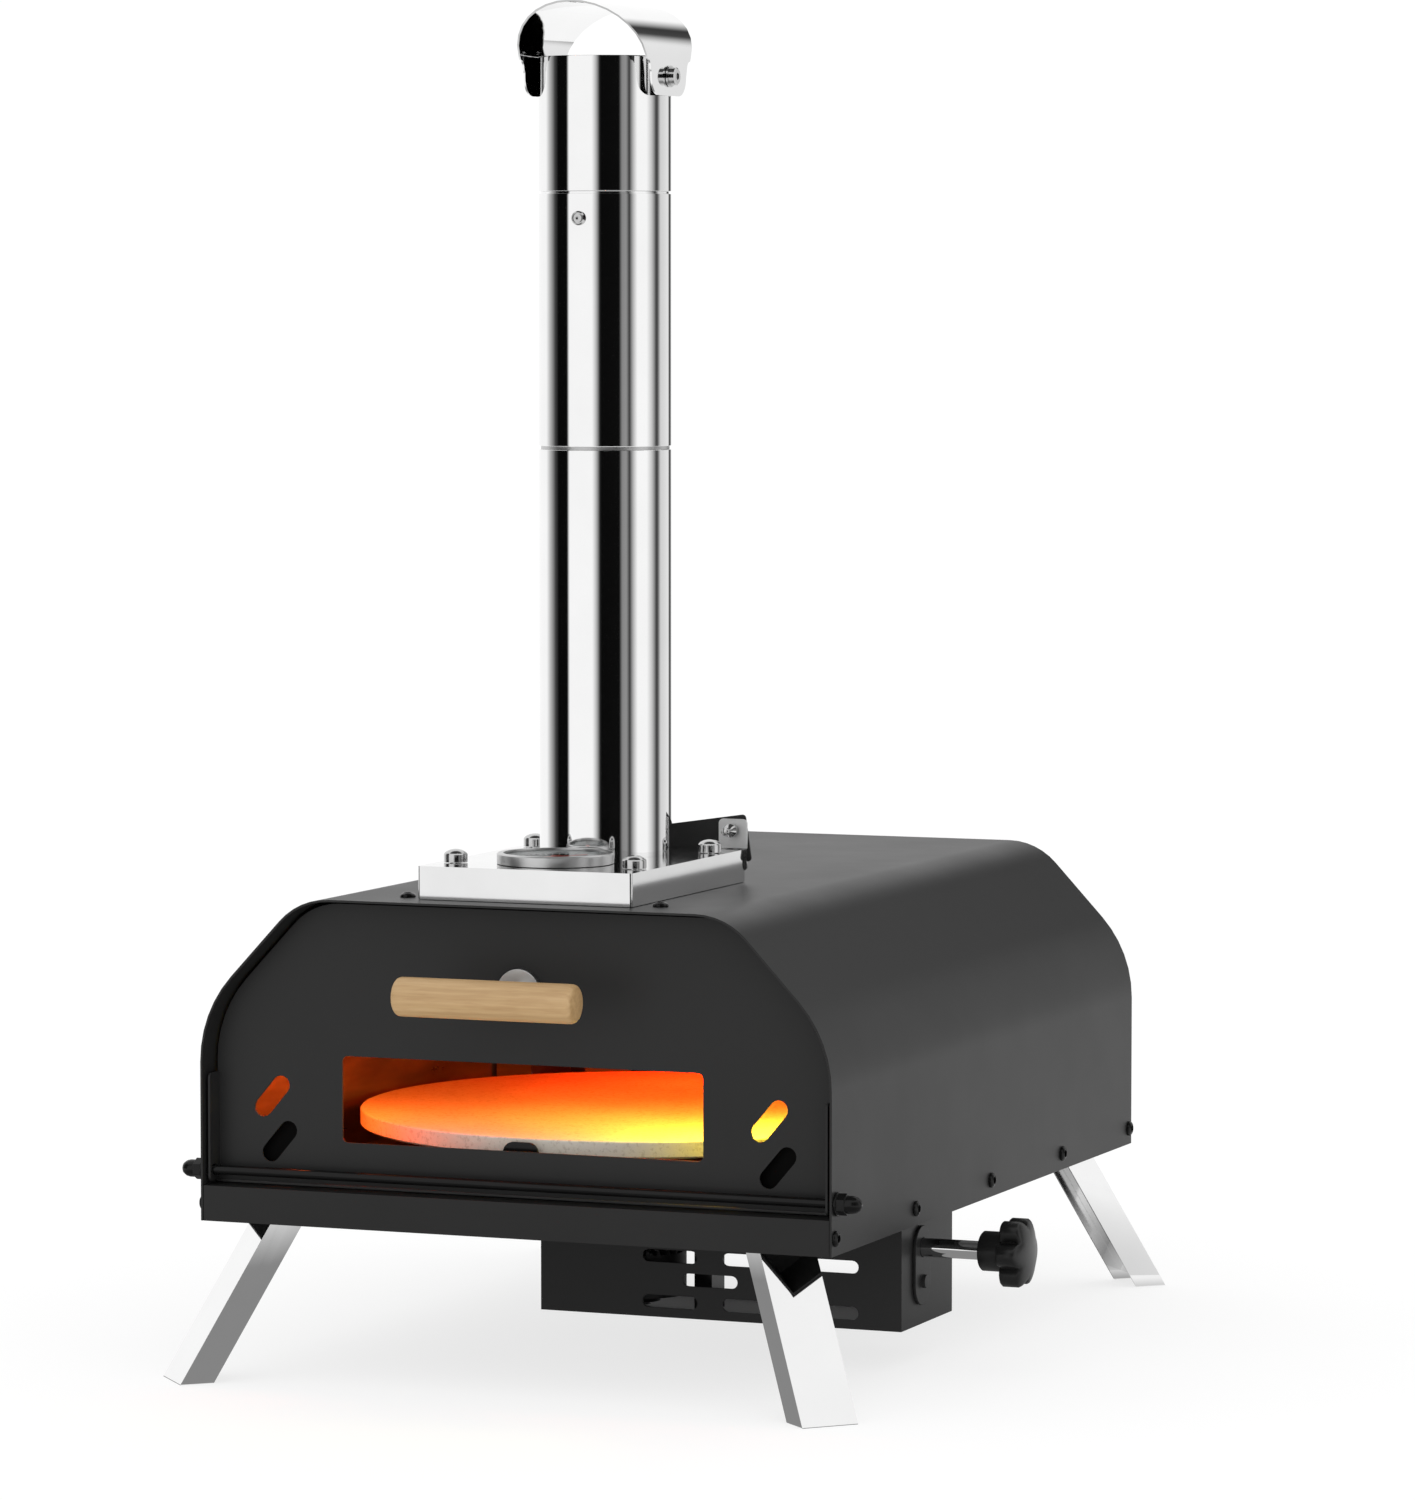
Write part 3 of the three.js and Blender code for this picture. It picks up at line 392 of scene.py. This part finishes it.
# ---- pieces made again in finer steps ---------------------------------------------------------
PIPE = (0, 126, 0)
RIVET = (0, 126, 519.7)
HANDLE = (0, -29, 125.2)
TURNTABLE = (0, 175, 0)
SHAFT_Y, SHAFT_Z, KNOB_X = 175, -19.3, 199
GAUGE_Y = 59.2
BODY_SIDE, ROOF, PLINTH_TOP = 175.5, 170, 187.4


def pipe_piece(node, low, high):
    """One chimney tube; the points 0.8 mm from its ends keep the shading of its wall even."""
    outline = fillet([(34, low), (34.8, low), (34.8, low + 0.8), (34.8, high - 0.8), (34.8, high),
                      (33.75, high), (34, high - 2), (34, low + 0.8)], 0.35, steps=3)
    make_piece(node + "_fine", [turned(outline, "z", PIPE, 144, closed=True)], MIRROR, "oven",
               (node,))


pipe_piece("pipe_lower", 170.3, 399.6)
pipe_piece("pipe_upper", 401.4, 532.6)
top_pipe = [(32.9, 500), (33.7, 500), (33.7, 501), (33.7, 533), (33.7, 533.8), (34.8, 533.8),
            (34.8, 534.6), (34.8, 602.9), (34.8, 603.7), (34, 603.7), (34, 602.9), (34, 536),
            (34, 535.4), (32.9, 534.2), (32.9, 533), (32.9, 501)]
make_piece("pipe_top_fine", [turned(fillet(top_pipe, 0.3, steps=3), "z", PIPE, 144, closed=True)],
           MIRROR, "oven", ("pipe_top",))

rivet = [(0, -35.6), (0.9, -35.6), (0.9, -37.1), (2.2, -36.9), (2.3, -35.4), (2.9, -35.4),
         (3, -36.7), (3.7, -36.2), (3.8, -34.6), (1.8, -34.6), (1.8, -31.6), (0, -31.6)]
make_piece("pipe_rivet_fine", [turned(rivet, "y", RIVET, 48)], SCREW, "oven",
           ("pipe_rivet",))

for corner, (x, y) in CORNERS.items():
    z = PLINTH_TOP + 0.3
    head = [(0, z - 14), (3, z - 14), (3, z), (6.1, z), (6.2, z + 0.2), (6.2, z + 4),
            (5.9, z + 4.6), (4.9, z + 5.5), (3.2, z + 6.3), (1.4, z + 6.7), (0, z + 6.8)]
    make_piece("plinth_screw_" + corner + "_fine", [turned(head, "z", (x, y, 0), 64)], SCREW,
               "oven", ("plinth_screw_" + corner,), angle=18)

handle = [(0, -49.5), (7.6, -49.5), (8.7, -49.2), (9.6, -48.4), (10.05, -47.2), (10.1, -45),
          (10.1, 45), (10.05, 47.2), (9.6, 48.4), (8.7, 49.2), (7.6, 49.5), (0, 49.5)]
make_piece("wood_handle_fine", [turned(handle, "x", HANDLE, 96)], WOOD, "door",
           ("wood_handle",))

make_piece("pizza_stone_fine", [turned([(0, 39.2), (148.8, 39.2), (150, 40.2), (150, 47.7),
           (149.6, 48.3), (148.8, 48.6), (0, 48.6)], "z", TURNTABLE, 200)], STONE, "turntable",
           ("pizza_stone",))


def star_outline(turn):
    """Radius of the knob's six-lobed star, as a share of its outer radius of 19 mm."""
    t = (turn - 30) % 60 - 30
    side = math.radians(t)
    bow = 36 - (13 * math.sin(side)) ** 2
    lobe = 13 * math.cos(side) + math.sqrt(bow) if bow > 0 else 0
    web = 13.2
    soft = 1.0
    top = max(lobe, web)
    return top + soft * math.log(1 + math.exp(-abs(lobe - web) / soft)) * 0.5


def star_knob():
    """Collar and star; the rings give the star's height and its share of the full outline."""
    rings = [(7.3, 0.9), (7.7, 0.96), (8.5, 1), (16.8, 1), (17.8, 0.985), (18.5, 0.95),
             (19.4, 0.86), (20.3, 0.7), (21, 0.5), (21.5, 0.28), (21.7, 0)]
    steps = 144
    verts, faces, rows = [], [], []
    for h, share in rings:
        row = []
        if share == 0:
            row = [len(verts)]
            verts.append(at(KNOB_X + h, SHAFT_Y, SHAFT_Z))
        else:
            for k in range(steps):
                turn = 360 * k / steps
                lobed = min(star_outline(turn), 18.9)
                round_off = max(0.0, min(1.0, (h - 17) / 3.2))
                r = (lobed * (1 - round_off) + 17.2 * round_off) * share
                a = math.radians(turn)
                row.append(len(verts))
                verts.append(at(KNOB_X + h, SHAFT_Y + r * math.cos(a),
                                SHAFT_Z + r * math.sin(a)))
        rows.append(row)
    faces.append(tuple(rows[0]))
    for a, b in zip(rows, rows[1:]):
        for k in range(steps):
            n = (k + 1) % steps
            faces.append((a[k], a[n], b[0]) if len(b) == 1 else (a[k], a[n], b[n], b[k]))
    collar = [(5.3, -5.5), (9.7, -5.5), (10.5, -4.7), (10.5, 8), (5.3, 8)]
    sleeve = turned(collar, "x", (KNOB_X, SHAFT_Y, SHAFT_Z), 64, closed=True)
    make_piece("star_knob_fine", [(verts, faces), sleeve], PLASTIC, "drive",
               ("star_knob",), angle=50)


star_knob()

# ---- small fittings that only the visual model shows -------------------------------------------
BUTTON = [(0, 0), (4, 0), (4.1, 0.5), (3.8, 1.3), (3, 1.9), (2, 2.2), (1.9, 2.1), (1.9, 0.9),
          (0, 0.9)]
for side, s in (("left", -1), ("right", 1)):
    for i, y in enumerate((4.9, 121.3, 237.8, 354.2, 470.1)):
        make_piece("side_screw_" + side + "_" + str(i + 1),
                   [turned([(r, s * h) for r, h in BUTTON], "x", (s * BODY_SIDE, y, 9), 32)],
                   BLACK, "oven")
for i, (x, y) in enumerate(((-70.6, 30.5), (70.6, 30.5))):
    make_piece("roof_screw_" + str(i + 1), [turned(BUTTON, "z", (x, y, ROOF), 32)], BLACK,
               "oven")

ticks = []
for i in range(31):
    a = math.radians(-135 + 9 * i)
    inner = 21 if i % 5 else 19
    across = Vector((math.cos(a), -math.sin(a), 0)) * (0.35 if i % 5 else 0.55) * MM
    out = Vector((math.sin(a), math.cos(a), 0)) * MM
    base = at(0, GAUGE_Y, PLINTH_TOP + 2.2)
    block = [base + out * r + across * k + Vector((0, 0, h)) * MM
             for h in (0.02, 0.22) for r, k in ((inner, -1), (inner, 1), (24.5, 1), (24.5, -1))]
    ticks.append((block, [(0, 1, 2, 3), (4, 5, 6, 7), (0, 1, 5, 4), (1, 2, 6, 5), (2, 3, 7, 6),
                          (3, 0, 4, 7)]))
make_piece("dial_ticks", ticks, MARK, "oven")

# ---- floor, studio and camera ---------------------------------------------------------------
def flat_card(name, verts, material):
    mesh = bpy.data.meshes.new(name)
    mesh.from_pydata(verts, [], [tuple(range(len(verts)))])
    mesh.materials.append(material)
    obj = bpy.data.objects.new(name, mesh)
    bpy.context.scene.collection.objects.link(obj)
    return obj


def glossy_only(obj):
    """Leaves a stage piece visible to reflections only."""
    obj.visible_camera = False
    obj.visible_diffuse = False
    obj.visible_shadow = False
    obj.visible_transmission = False
    obj.visible_volume_scatter = False


STUDIO_LEVEL = 1.03
FLOOR = surface("studio_floor", grey(0.26), grey(0.275), (0.7, 0.8), patch=1.5, grain=60,
                relief=0.0, specular=0.0)
shine = FLOOR.node_tree.nodes["Principled BSDF"]
shine.inputs["Emission Color"].default_value = (1, 1, 1, 1)
shine.inputs["Emission Strength"].default_value = 0.75
floor_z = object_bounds()[0].z
flat_card("floor", [(-60, -60, floor_z), (60, -60, floor_z), (60, 60, floor_z),
                    (-60, 60, floor_z)], FLOOR)

VIEW_AZ, VIEW_EL = 22.05, 4.04
PIPE_AXIS = at(0, 126, 0)

# Upright studio panels round the oven that only polished surfaces see. Each is a run of grey
# levels at angles from the view: (angle, level) at its edges, white between the panels.
PANELS = [
    [(-122, 1), (-110, 0.5), (-96, 0.06), (-88, 0.003), (-68, 0.003), (-64, 1)],
    [(-22, 1), (-16, 0.6), (-9, 0.02), (-6, 0.003), (25, 0.004), (30, 0.26), (37, 0.3),
     (43, 0.02), (50, 0.5), (58, 1)],
    [(77, 1), (88, 0.6), (99, 0.05), (104, 0.1), (112, 0.68), (140, 0.84), (147, 0.06),
     (154, 0.04), (164, 1)],
]


def studio_ring(radius=2.2, top=1.9):
    m, nodes, links, bsdf = new_material("studio_panels")
    coord = nodes.new("ShaderNodeTexCoord")
    split = nodes.new("ShaderNodeSeparateXYZ")
    turn = nodes.new("ShaderNodeMath")
    turn.operation = "ARCTAN2"
    links.new(coord.outputs["Object"], split.inputs["Vector"])
    links.new(split.outputs["X"], turn.inputs[0])
    links.new(split.outputs["Y"], turn.inputs[1])
    whole = nodes.new("ShaderNodeMapRange")
    whole.inputs["From Min"].default_value = -math.pi
    whole.inputs["From Max"].default_value = math.pi
    links.new(turn.outputs["Value"], whole.inputs["Value"])
    stops = [((a + 180) / 360, grey(v)) for panel in PANELS for a, v in panel]
    glow(bsdf, ramp(nodes, links, whole.outputs["Result"], stops), STUDIO_LEVEL, links)
    steps = 120
    verts = []
    for i in range(steps):
        a = 2 * math.pi * i / steps
        for z in (0.001, top):
            verts.append((radius * math.sin(a), radius * math.cos(a), z))
    mesh = bpy.data.meshes.new("studio_panels")
    mesh.from_pydata(verts, [], [(2 * i, 2 * i + 1, (2 * i + 3) % (2 * steps),
                                  (2 * i + 2) % (2 * steps)) for i in range(steps)])
    mesh.materials.append(m)
    obj = bpy.data.objects.new("studio_panels", mesh)
    # The ring's own +Y looks from the chimney towards the camera, and its +X to the right.
    towards = math.radians(VIEW_AZ)
    obj.matrix_world = Matrix((
        (math.cos(towards), math.sin(towards), 0, PIPE_AXIS.x),
        (math.sin(towards), -math.cos(towards), 0, PIPE_AXIS.y),
        (0, 0, 1, floor_z), (0, 0, 0, 1)))
    bpy.context.scene.collection.objects.link(obj)
    glossy_only(obj)


studio_ring()


def sheen(name, x, y, z, radius, stops):
    """A flat round panel that only glossy surfaces see, shaded from its middle outwards."""
    m, nodes, links, bsdf = new_material(name)
    coord = nodes.new("ShaderNodeTexCoord")
    away = nodes.new("ShaderNodeVectorMath")
    away.operation = "LENGTH"
    links.new(coord.outputs["Object"], away.inputs[0])
    stops = [(r, grey(v)) for r, v in stops]
    glow(bsdf, ramp(nodes, links, away.outputs["Value"], stops), 1.0, links)
    ring = [(radius * math.cos(math.radians(5 * k)), radius * math.sin(math.radians(5 * k)), 0)
            for k in range(72)]
    obj = flat_card(name, ring, m)
    middle = at(x, y, 0)
    obj.location = (middle.x, middle.y, floor_z + z)
    glossy_only(obj)


# Polished metal sees a painted floor shadow under the oven, a painted dark patch behind it and a
# dim ceiling.
sheen("floor_sheen", -20, 0, 0.0004, 0.65, [(0.3, 0.26), (0.62, 1)])
sheen("floor_sheen_rear", 60, 580, 0.0006, 0.2, [(0.1, 0.02), (0.19, 1)])
sheen("ceiling_sheen", 0, 126, 1.9, 2.3, [(0.0, 0.03), (0.9, 0.1), (1.4, 0.15), (1.75, 1)])

world = bpy.data.worlds.new("studio")
bpy.context.scene.world = world
world.use_nodes = True
world.node_tree.nodes["Background"].inputs["Color"].default_value = (1, 1, 1, 1)
world.node_tree.nodes["Background"].inputs["Strength"].default_value = STUDIO_LEVEL


def fire_light(name, place, power, colour, size=12):
    data = bpy.data.lights.new(name, "POINT")
    data.energy = power
    data.color = colour
    data.shadow_soft_size = size * MM
    obj = bpy.data.objects.new(name, data)
    obj.location = at(*place)
    obj.visible_camera = False
    bpy.context.scene.collection.objects.link(obj)
    return obj


fire_light("fire_yellow", (102, 56, 88), 0.56, (1, 0.85, 0.05))
fire_light("fire_yellow_rear", (128, 120, 80), 0.3, (1, 0.6, 0.04))
fire_light("fire_orange", (0, 100, 122), 0.5, (1, 0.18, 0.012))
fire_light("fire_left", (-144, 36, 104), 0.85, (1, 0.12, 0.008))
fire_light("fire_red", (-10, 285, 112), 0.95, (1, 0.03, 0.002))


def flames():
    """Thin tongues of flame drifting in from the fuel drawer, past the stone's right side."""
    m, nodes, links, bsdf = new_material("flame")
    bsdf.inputs["Base Color"].default_value = (0, 0, 0, 1)
    bsdf.inputs["Specular IOR Level"].default_value = 0
    vector = coordinates(nodes, links, (40, 40, 120))
    flicker = noise(nodes, links, vector, 1.0, 2.0)
    links.new(ramp(nodes, links, flicker, [(0.35, (1, 0.3, 0.02)), (0.62, (1, 0.78, 0.25))]),
              bsdf.inputs["Emission Color"])
    bsdf.inputs["Emission Strength"].default_value = 1.4
    pick = random.Random(11)
    verts, faces = [], []
    for _ in range(9):
        x, y, z = pick.uniform(64, 92), pick.uniform(196, 236), pick.uniform(56, 68)
        lean, rise, wave = pick.uniform(8, 30), pick.uniform(16, 34), pick.uniform(2, 5)
        phase, steps = pick.uniform(0, 6), 14
        start = len(verts)
        for k in range(steps + 1):
            t = k / steps
            wide = 0.45 * math.sin(math.pi * (0.1 + 0.9 * t)) + 0.05
            px = x + lean * t + wave * math.sin(phase + 5 * t)
            for side in (-1, 1):
                verts.append(at(px, y, z + rise * t + side * wide))
            if k:
                i = start + 2 * k
                faces.append((i - 2, i - 1, i + 1, i))
    mesh = bpy.data.meshes.new("flames")
    mesh.from_pydata([tuple(p) for p in verts], [], faces)
    mesh.materials.append(m)
    obj = bpy.data.objects.new("flames", mesh)
    bpy.context.scene.collection.objects.link(obj)
    obj.visible_shadow = False
    obj.visible_diffuse = False


flames()

camera = bpy.data.cameras.new("camera")
camera.sensor_width = 36
camera.lens = 158.6
camera.shift_x, camera.shift_y = 0.0027, -0.0026
camera.clip_start, camera.clip_end = 0.05, 200
view = bpy.data.objects.new("camera", camera)
view.location = at(1346.8, -3062.4, 488.1)
view.rotation_euler = (math.radians(90 - VIEW_EL), 0, math.radians(VIEW_AZ))
bpy.context.scene.collection.objects.link(view)
bpy.context.scene.camera = view
bpy.context.scene.view_settings.view_transform = "Standard"
